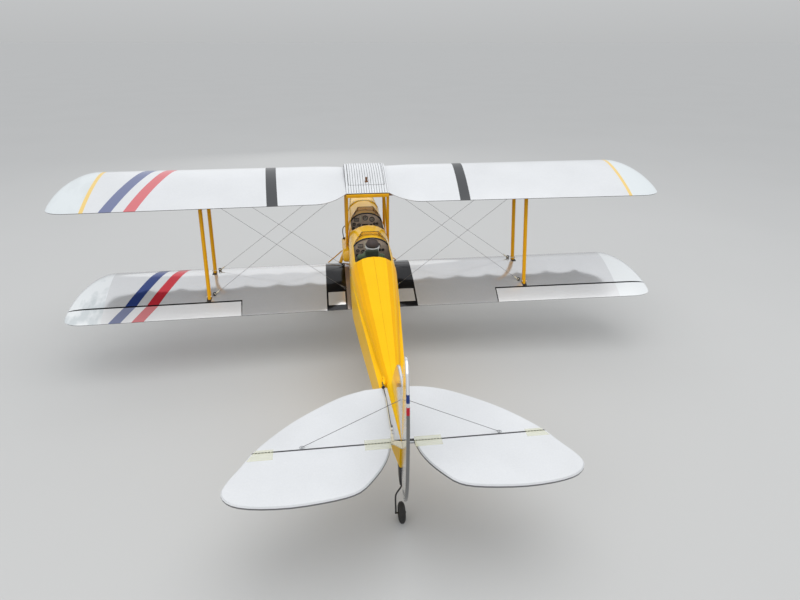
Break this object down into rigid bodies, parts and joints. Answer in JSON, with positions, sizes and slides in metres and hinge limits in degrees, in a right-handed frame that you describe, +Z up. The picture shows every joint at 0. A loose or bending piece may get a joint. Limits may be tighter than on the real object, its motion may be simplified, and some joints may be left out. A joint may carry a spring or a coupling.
{
  "type": "radio-controlled model biplane",
  "caption": "Two-seat trainer biplane as a radio-controlled scale model: yellow fuselage, silver wings, open cockpits with a pilot figure, strut and wire bracing, tailwheel gear.",
  "frame": {"origin": "bottom centre of the bounding box: on the ground under the middle of the plan, model parked on its three wheels", "axes": "+X to starboard, across the wings; +Y forward, to the propeller; +Z up"},
  "size_m": [1.7554, 1.4554, 0.5526],
  "materials": {
    "silver_film": "silver-white covering film, satin",
    "tank_paint": "silver paint over ridged sheet",
    "yellow_film": "bright yellow covering film and paint, glossy",
    "strut_paint": "orange-yellow paint, glossy",
    "black_paint": "black paint, satin",
    "wheel_paint": "silver paint",
    "tyre": "dark grey rubber",
    "steel": "plain steel wire and fittings",
    "engine_metal": "cast and machined light alloy",
    "propeller_wood": "varnished laminated wood",
    "panel_plastic": "grey-brown board with black dial rings",
    "cream_plastic": "cream moulded plastic",
    "screen": "thin clear sheet, slightly yellowed",
    "pilot_cloth": "green jacket of a moulded figure",
    "pilot_leather": "dark brown flying helmet of a moulded figure"
  },
  "bodies": {
    "airframe": {"axle_left": "black_paint", "axle_right": "black_paint", "cabane_struts_left": "strut_paint", "cabane_struts_right": "strut_paint", "centre_spar": "strut_paint", "compression_leg_left": "strut_paint", "compression_leg_right": "strut_paint", "engine_block": "engine_metal", "engine_cowl": "yellow_film", "exhaust_pipe": "steel", "fin": "silver_film", "flying_wire_front_left": "steel", "flying_wire_front_right": "steel", "flying_wire_rear_left": "steel", "flying_wire_rear_right": "steel", "fuel_tank": "tank_paint", "fuselage_front": "yellow_film", "fuselage_middle": "yellow_film", "fuselage_rear": "yellow_film", "instrument_panel_front": "panel_plastic", "instrument_panel_rear": "panel_plastic", "interplane_strut_front_left": "strut_paint", "interplane_strut_front_right": "strut_paint", "interplane_strut_rear_left": "strut_paint", "interplane_strut_rear_right": "strut_paint", "landing_wire_front_left": "steel", "landing_wire_front_right": "steel", "landing_wire_rear_left": "steel", "landing_wire_rear_right": "steel", "oil_tank": "yellow_film", "pilot_body": "pilot_cloth", "pilot_head": "pilot_leather", "seat_front": "black_paint", "tail_brace_left": "steel", "tail_brace_right": "steel", "tailplane": "silver_film", "tailwheel_bracket": "black_paint", "windscreen_front": "screen", "windscreen_rear": "screen", "wing_lower_left": "silver_film", "wing_lower_right": "silver_film", "wing_upper_left": "silver_film", "wing_upper_right": "silver_film"},
    "propeller": {"propeller": "propeller_wood", "propeller_nut": "steel"},
    "wheel_left": {"tyre_left": "tyre", "wheel_hub_left": "wheel_paint"},
    "wheel_right": {"tyre_right": "tyre", "wheel_hub_right": "wheel_paint"},
    "rudder": {"rudder": "silver_film", "rudder_horn": "cream_plastic"},
    "rudder_rod": {"rudder_pushrod": "cream_plastic"},
    "elevator": {"elevator_left": "silver_film", "elevator_right": "silver_film", "elevator_joiner": "steel"},
    "aileron_left": {"aileron_left": "silver_film"},
    "aileron_right": {"aileron_right": "silver_film"},
    "tailwheel_steer": {"tailwheel_leg": "steel"},
    "tailwheel": {"tailwheel_tyre": "tyre", "tailwheel_hub": "black_paint"}
  },
  "joints": [
    {"name": "propeller_spin", "type": "hinge", "parent": "airframe", "child": "propeller", "pos_m": [0, 0.70649, 0.37033], "axis": [0, 0.9936, 0.1132], "continuous": true},
    {"name": "wheel_left_spin", "type": "hinge", "parent": "airframe", "child": "wheel_left", "pos_m": [-0.16, 0.49137, 0.05], "axis": [1, 0, 0], "continuous": true},
    {"name": "wheel_right_spin", "type": "hinge", "parent": "airframe", "child": "wheel_right", "pos_m": [0.16, 0.49137, 0.05], "axis": [1, 0, 0], "continuous": true},
    {"name": "elevator_hinge", "type": "hinge", "parent": "airframe", "child": "elevator", "pos_m": [0, -0.60224, 0.21417], "axis": [1, 0, 0], "range_deg": [-25, 25]},
    {"name": "rudder_hinge", "type": "hinge", "parent": "airframe", "child": "rudder", "pos_m": [0, -0.61635, 0.28503], "axis": [0, -0.1132, 0.9936], "range_deg": [-21, 29]},
    {"name": "rudder_rod_slide", "type": "slide", "parent": "airframe", "child": "rudder_rod", "axis": [0, 0.9936, 0.1132], "range_m": [-0.0105, 0.0075]},
    {"name": "tailwheel_steer_hinge", "type": "hinge", "parent": "airframe", "child": "tailwheel_steer", "pos_m": [0, -0.58746, 0.10212], "axis": [0, -0.1132, 0.9936], "range_deg": [-21, 29]},
    {"name": "tailwheel_spin", "type": "hinge", "parent": "tailwheel_steer", "child": "tailwheel", "pos_m": [0, -0.5884, 0.022], "axis": [1, 0, 0], "continuous": true},
    {"name": "aileron_left_hinge", "type": "hinge", "parent": "airframe", "child": "aileron_left", "pos_m": [-0.60244, 0.11533, 0.19478], "axis": [0.997, 0.0724, -0.027], "range_deg": [-22, 22]},
    {"name": "aileron_right_hinge", "type": "hinge", "parent": "airframe", "child": "aileron_right", "pos_m": [0.60244, 0.11533, 0.19478], "axis": [0.997, -0.0724, 0.027], "range_deg": [-22, 22]}
  ],
  "couplings": [
    {"joint": "rudder_rod_slide", "follows": "rudder_hinge", "m_per_rad": -0.02},
    {"joint": "tailwheel_steer_hinge", "follows": "rudder_hinge", "ratio": 1},
    {"joint": "aileron_right_hinge", "follows": "aileron_left_hinge", "ratio": -1}
  ]
}
